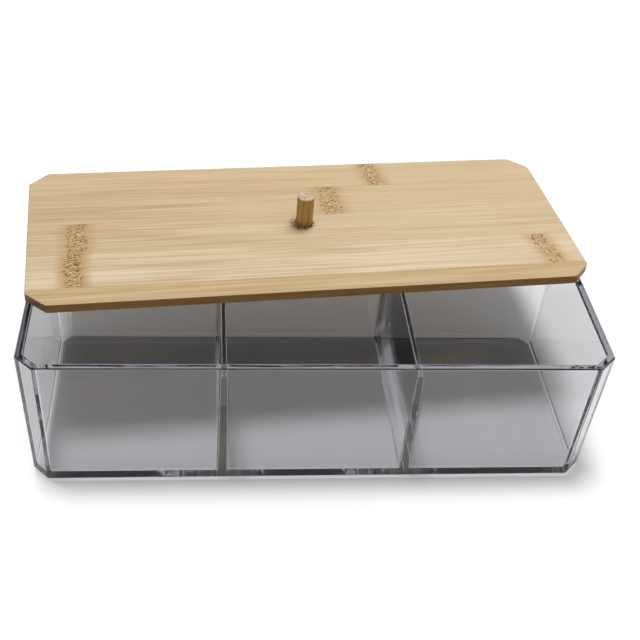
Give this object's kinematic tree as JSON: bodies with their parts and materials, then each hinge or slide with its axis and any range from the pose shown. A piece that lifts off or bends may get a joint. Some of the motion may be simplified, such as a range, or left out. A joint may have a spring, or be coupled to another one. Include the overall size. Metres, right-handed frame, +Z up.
{
  "type": "storage box",
  "caption": "Clear moulded divided tray with chamfered corners and a loose glued bamboo strip lid with a dowel knob.",
  "frame": {"origin": "centre of the tray's underside", "axes": "+X along the tray, -Y out of its front, +Z up"},
  "size_m": [0.2729, 0.1679, 0.0904],
  "materials": {
    "clear_plastic": "polished clear moulding",
    "bamboo_front": "fine sanded, thin satin lacquer",
    "bamboo_light": "fine sanded, thin satin lacquer",
    "bamboo_middle": "fine sanded, thin satin lacquer",
    "bamboo_back": "fine sanded, thin satin lacquer",
    "bamboo_dowel": "turned, sanded, end grain on top",
    "screw_steel": "zinc plated"
  },
  "bodies": {
    "tray": {"tray": "clear_plastic"},
    "lid": {"lid_strip_1": "bamboo_front", "lid_strip_2": "bamboo_light", "lid_strip_3": "bamboo_middle", "lid_strip_4": "bamboo_back", "lid_strip_5": "bamboo_back", "knob": "bamboo_dowel", "knob_screw": "screw_steel"}
  },
  "joints": [
    {"name": "lid_lift", "type": "slide", "parent": "tray", "child": "lid", "axis": [0, 0, 1], "range_m": [0, 0.1]}
  ]
}
